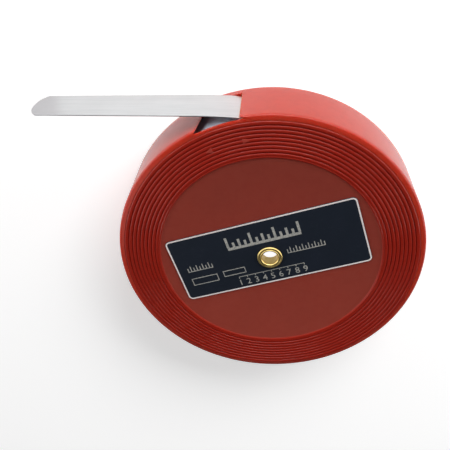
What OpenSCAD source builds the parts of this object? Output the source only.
// Feeler gauge strip roll: a coil of thin steel gauge strip in a round two-part
// moulded case, with the strip's free end out of a mouth in the rim. The coil lies
// round a hub that is open at the back. A short brass eyelet clamps the hub's web,
// the front cover and the label. Millimetres. The case lies on its back with its
// front up: the eyelet's axis is Z, the mouth is at +Y and the free end runs out
// along -X. The origin is in the middle of the eyelet's bore.

/* [Strip] */
// Width of the gauge strip
strip_w = 12.7; // [6:0.1:25]
// Thickness of the gauge strip
strip_t = 0.25; // [0.15:0.05:0.4]
// Length of strip on the coil
strip_len = 5000; // [2000:100:8000]
// Share of the coil's section that is steel, the rest being air between turns
coil_packing = 0.95; // [0.85:0.01:0.98]
// Straight length of the free end
free_len = 44.9; // [25:0.1:90]
// Slope of the free end, down and away from the case
free_drop = 1.65; // [0:0.05:3]
// Length of the sweep that rounds off the tip's back corner
tip_sweep = 4.6; // [2:0.1:8]
// Radius of the tip's front corner
tip_round = 1.4; // [0.5:0.1:3]

/* [Case] */
// Outer radius of the case
case_r = 37.5; // [36:0.5:60]
// Thickness of the case's back
back_t = 2.2; // [1.6:0.1:4]
// Thickness of the rim round the cover
rim_t = 1.4; // [1:0.1:2.5]
// Width of the inner ledge that the cover sits on
ledge_w = 0.3; // [0.2:0.05:1]
// Radius of the rim's outer edges
edge_round = 0.8; // [0.4:0.1:0.9]
// Thickness of the hub's wall
hub_t = 1.4; // [1:0.1:2.5]
// Thickness of the web that closes the hub behind the cover
web_t = 1.2; // [0.8:0.1:3]
// Radius of the corner between the hub's wall and its web
web_round = 1; // [0.4:0.1:2]

/* [Cover] */
// Thickness of the cover
cover_t = 1.1; // [0.9:0.1:2]
// Depth of the recess in the middle of the cover
cover_recess = 0.35; // [0.2:0.05:0.5]
// Width of the sloping edge of the recess
recess_slope = 0.7; // [0.4:0.1:1.2]
// Slack between the cover and the rim
cover_gap = 0.1; // [0.05:0.05:0.2]
// Number of ridges on each ring
ridges = 8; // [4:1:9]
// Pitch of the ridges
ridge_pitch = 0.94; // [0.8:0.02:1]
// Depth of the grooves between the ridges
groove_d = 0.35; // [0.2:0.05:0.5]
// Width of the plain band inside the ridges
band_w = 1.7; // [1.4:0.1:3]

/* [Mouth] */
// Angle from the top of the case to the lip that the strip leaves under
mouth_near = 12.5; // [10:0.5:15]
// Angle from the top of the case to the middle of the mouth's far end
mouth_far = 26.5; // [22:0.5:35]
// How much wider the mouth is at the front than at the back, as its far end leans
far_lean = 2; // [0:0.1:2.5]
// Angle that the bevel under the lip takes up
lip_bevel = 6.5; // [6:0.5:8]
// Slack behind the strip in the mouth
mouth_gap = 0.3; // [0.2:0.1:0.9]
// Depth of the free end below the top of the case
free_depth = 1; // [0.9:0.05:1.3]

/* [Clearances] */
// Slack between the strip and the cover
front_gap = 0.3; // [0.2:0.05:0.6]
// Slack between the strip and the case's back
back_gap = 1; // [0.3:0.05:1.5]
// Gap between the coil and the rim
coil_gap = 0.7; // [0.6:0.05:1]
// Gap between the rim and the last turn, on its way out
lead_gap = 0.3; // [0.2:0.05:0.35]
// Gap between the hub and the coil
hub_gap = 1; // [0.6:0.1:2]

/* [Label] */
// Height of the label plate
label_h = 18.2; // [10:0.1:24]
// Thickness of the label plate
label_t = 0.2; // [0.1:0.05:0.3]
// Radius of the label's corners
label_round = 1.2; // [0.4:0.1:3]
// Margin between the label's corners and the edge of the recess
label_margin = 1.1; // [0.5:0.1:4]
// Height of the label's middle above the eyelet
label_rise = 1.6; // [0:0.1:3]
// Angle that the label is turned by
label_turn = 18.6; // [0:0.1:45]

/* [Eyelet] */
// Radius of the eyelet's bore
bore_r = 1.95; // [1.5:0.05:2.4]
// Thickness of the eyelet's barrel
barrel_t = 0.35; // [0.25:0.05:0.5]
// Outer radius of the eyelet's rolled heads
head_r = 3.1; // [3:0.05:4]
// Height of the eyelet's rolled heads
head_h = 0.55; // [0.4:0.05:0.65]
// Slack round the barrel
barrel_gap = 0.1; // [0.05:0.05:0.3]

/* [Arrow marks] */
// Length of an arrow mark round the ring
arrow_l = 1.8; // [1:0.1:3]
// Width of an arrow mark across the ring
arrow_w = 1.3; // [0.8:0.1:2]
// Angle by which the arrow marks lie outside the mouth's ends
arrow_out = 1; // [0:0.1:3]

/* [Hidden] */
$fn = 96;
// Segments in a quarter of a rounded edge, a sloping edge, a ridge, the tip's sweep,
// the last turn's wrap and its bend up to the free end
round_steps = 5;
slope_steps = 3;
ridge_steps = 6;
sweep_steps = 12;
wrap_steps = 32;
bend_steps = 12;
// A ridge's section is a sine to this power, which fills out its shoulders
ridge_fullness = 0.6;
// Overshoot of a cut past the face that it opens
cut = 1;
// How far an arrow mark reaches below the bottom of the grooves
arrow_sink = 0.1;

// Heights are measured along the bore's axis from the back face
case_t = back_t + back_gap + strip_w + front_gap + cover_t;
cover_z = case_t - cover_t;
strip_z = back_t + back_gap;
mouth_z = strip_z - mouth_gap;

cavity_r = case_r - rim_t - ledge_w;
coil_r = cavity_r - coil_gap;
coil_bore_r = sqrt(pow(coil_r, 2) - strip_len * strip_t / coil_packing / PI);
seam_r = case_r - rim_t;
cover_r = seam_r - cover_gap;
recess_r = seam_r - ridges * ridge_pitch - band_w;
recess_z = cover_z - cover_recess;
hub_r = coil_bore_r - hub_gap;
well_r = hub_r - hub_t;
web_z = recess_z - web_t;
back_ridges = floor((seam_r - well_r - band_w) / ridge_pitch);
barrel_r = bore_r + barrel_t;
hole_r = barrel_r + barrel_gap;
label_z = case_t - cover_recess;

// The label fills the recess between its margins
label_corner_r = recess_r - label_margin;
label_w = 2 * sqrt(pow(label_corner_r, 2) - pow(label_h / 2 + label_rise, 2));

// The free end runs along a straight line past the top of the case. It starts just
// outside the lip. The last turn follows the rim for lead_wrap degrees, leaves it
// lip_clear degrees before the lip and bends up to the line
lip_lead = 2.7;
lip_clear = 4.5;
lead_wrap = 60;
bend_pull = 0.4;
free_h = case_r - free_depth;
free_start = case_r * sin(mouth_near) + lip_lead;
lead_end = mouth_near - lip_clear;
lead_r = cavity_r - lead_gap - strip_t / 2;

function polar(r, a) = [-r * sin(a), r * cos(a)];
function free_point(x) = [x, free_h / cos(free_drop) + x * tan(free_drop)];
function ease(u) = u * u * (3 - 2 * u);
function quarter(centre, r, from, way = 1) =
    [for (i = [0:round_steps]) let (a = from + way * 90 * i / round_steps) centre + r * [cos(a), sin(a)]];

// Points of a ringed face, as a radius and a depth below the face, from the inside out
function groove_r(k) = seam_r - k * ridge_pitch;
function recess_edge() =
    [for (i = [0:slope_steps]) let (u = i / slope_steps)
        [recess_r + recess_slope * u, cover_recess * (1 - ease(u))]];
function ring_of_ridges(count) = concat(
    [[groove_r(count) - groove_d, 0]],
    [for (k = [count:-1:1], i = [0:ridge_steps - 1])
        [groove_r(k) + ridge_pitch * i / ridge_steps,
            groove_d * (1 - pow(sin(180 * i / ridge_steps), ridge_fullness))]],
    [[seam_r, groove_d]]);

// A strip of even thickness along a list of points
function side(p, i, d) =
    let (a = p[max(i - 1, 0)], b = p[min(i + 1, len(p) - 1)], t = (b - a) / norm(b - a))
    p[i] + d * [-t[1], t[0]];
function ribbon(p, t) = concat(
    [for (i = [0:len(p) - 1]) side(p, i, t / 2)],
    [for (i = [len(p) - 1:-1:0]) side(p, i, -t / 2)]);
function bezier(a, b, c, d, n) =
    [for (i = [1:n]) let (u = i / n, v = 1 - u) v*v*v * a + 3*v*v*u * b + 3*v*u*u * c + u*u*u * d];

// Brings the middle of the eyelet's bore to the origin
module placed() {
    translate([0, 0, -(web_z + label_z + label_t) / 2]) children();
}

// The cup: web, well, ringed back, rim, seat of the cover, and the hub's outside
module case_body() {
    cup = concat(
        [[hole_r, web_z]],
        quarter([well_r - web_round, web_z - web_round], web_round, 90, -1),
        quarter([well_r + edge_round, edge_round], edge_round, 180),
        ring_of_ridges(back_ridges), [[seam_r + groove_d, 0]],
        quarter([case_r - edge_round, edge_round], edge_round, -90),
        quarter([case_r - edge_round, case_t - edge_round], edge_round, 0),
        [[seam_r + groove_d, case_t], [seam_r, case_t - groove_d], [seam_r, cover_z]],
        [[cavity_r, cover_z], [cavity_r, back_t], [hub_r, back_t], [hub_r, recess_z], [hole_r, recess_z]]);
    color([0.72, 0.16, 0.13]) placed() difference() {
        rotate_extrude() polygon(cup);
        mouth();
    }
}

// The mouth has a bevel under its near lip. Its far end is cut straight up and down,
// seen from the front, and leans away from the lip towards the front
module mouth() {
    middle_x = case_r * sin(mouth_far);
    back_x = middle_x - far_lean / 2;
    front_x = middle_x + far_lean / 2;
    inner_r = cavity_r - cut;
    intersection() {
        translate([0, 0, mouth_z]) linear_extrude(case_t) polygon([
            polar(inner_r, asin((front_x + cut) / inner_r)), [-front_x - cut, case_r + cut],
            polar(case_r + cut, mouth_near), polar(case_r, mouth_near),
            polar(inner_r, mouth_near - lip_bevel)]);
        rotate([90, 0, 0]) translate([0, 0, -case_r - cut]) linear_extrude(case_r)
            polygon([[-back_x, mouth_z], [-front_x, case_t], [-front_x, case_t + cut],
                [0, case_t + cut], [0, mouth_z]]);
    }
}

module front_cover() {
    face = concat(recess_edge(), ring_of_ridges(ridges));
    disc = concat(
        [[hole_r, label_z]],
        [for (p = face) if (p[0] < cover_r) [p[0], case_t - p[1]]],
        [[cover_r, case_t - groove_d], [cover_r, cover_z]],
        [[recess_r - recess_slope, cover_z], [recess_r - recess_slope - cover_recess, recess_z]],
        [[hole_r, recess_z]]);
    color([0.72, 0.16, 0.13]) placed() {
        rotate_extrude() polygon(disc);
        arrow_mark(mouth_far + arrow_out, 1);
        arrow_mark(mouth_near - arrow_out, -1);
    }
}

// A small raised arrowhead across the middle ridges; way is 1 where it points to the left
module arrow_mark(angle, way) {
    r = groove_r(ridges / 2 + 0.5);
    bottom = case_t - groove_d - arrow_sink;
    tail = way * arrow_l / 2;
    rotate([0, 0, angle]) translate([0, r, bottom]) linear_extrude(case_t - bottom)
        polygon([[-tail, 0], [tail, arrow_w / 2], [tail, -arrow_w / 2]]);
}

module label_plate() {
    inner_w = label_w / 2 - label_round;
    inner_h = label_h / 2 - label_round;
    color([0.11, 0.14, 0.17]) placed() translate([0, 0, label_z])
        rotate([0, 0, label_turn]) linear_extrude(label_t) difference() {
            translate([0, label_rise]) union() {
                square([label_w, 2 * inner_h], center = true);
                square([2 * inner_w, label_h], center = true);
                for (x = [-1, 1], y = [-1, 1])
                    translate([x * inner_w, y * inner_h]) circle(label_round);
            }
            circle(hole_r);
        }
}

// The eyelet's rolled heads are half ellipses, one on the label and one under the web
module eyelet() {
    front = label_z + label_t;
    bead = (head_r - bore_r) / 2;
    function head(z, from) =
        [for (i = [0:2 * round_steps]) let (a = from - 90 * i / round_steps)
            [bore_r + bead + bead * cos(a), z + head_h * sin(a)]];
    color([0.80, 0.64, 0.28]) placed() rotate_extrude()
        polygon(concat([[barrel_r, web_z]], head(web_z, 0), head(front, 180), [[barrel_r, front]]));
}

module strip_coil() {
    wrap_r = coil_r - strip_t;
    wrap = [for (i = [0:wrap_steps]) let (u = i / wrap_steps)
        polar(wrap_r + (lead_r - wrap_r) * ease(u), -lead_wrap + (lead_wrap + lead_end) * u)];
    from = wrap[len(wrap) - 1];
    to = free_point(-free_start);
    pull = (free_start + from[0]) * bend_pull;
    lead = concat(wrap, bezier(from, from + pull * [-cos(lead_end), -sin(lead_end)],
        to + pull * [cos(free_drop), sin(free_drop)], to, bend_steps));
    color([0.55, 0.58, 0.62]) placed() translate([0, 0, strip_z]) {
        rotate_extrude() translate([coil_bore_r, 0]) square([coil_r - coil_bore_r, strip_w]);
        linear_extrude(strip_w) polygon(ribbon(lead, strip_t));
    }
}

// The free end's outline is drawn flat, with X along the strip and Y across it from
// its back edge, and then stood on edge. The tip's back corner is an ellipse's quarter
module strip_end() {
    from = free_point(-free_start);
    tip_x = -free_len;
    sweep_w = strip_w - tip_round;
    corner = quarter([tip_x + tip_round, sweep_w], tip_round, 90);
    sweep = [for (i = [1:sweep_steps]) let (a = 180 + 90 * i / sweep_steps)
        [tip_x + tip_sweep + tip_sweep * cos(a), sweep_w + sweep_w * sin(a)]];
    color([0.80, 0.82, 0.84]) placed() translate([from[0], from[1], strip_z])
        rotate([90, 0, free_drop]) translate([0, 0, -strip_t / 2])
            linear_extrude(strip_t) polygon(concat([[0, 0], [0, strip_w]], corner, sweep));
}

case_body();
front_cover();
label_plate();
eyelet();
strip_coil();
strip_end();
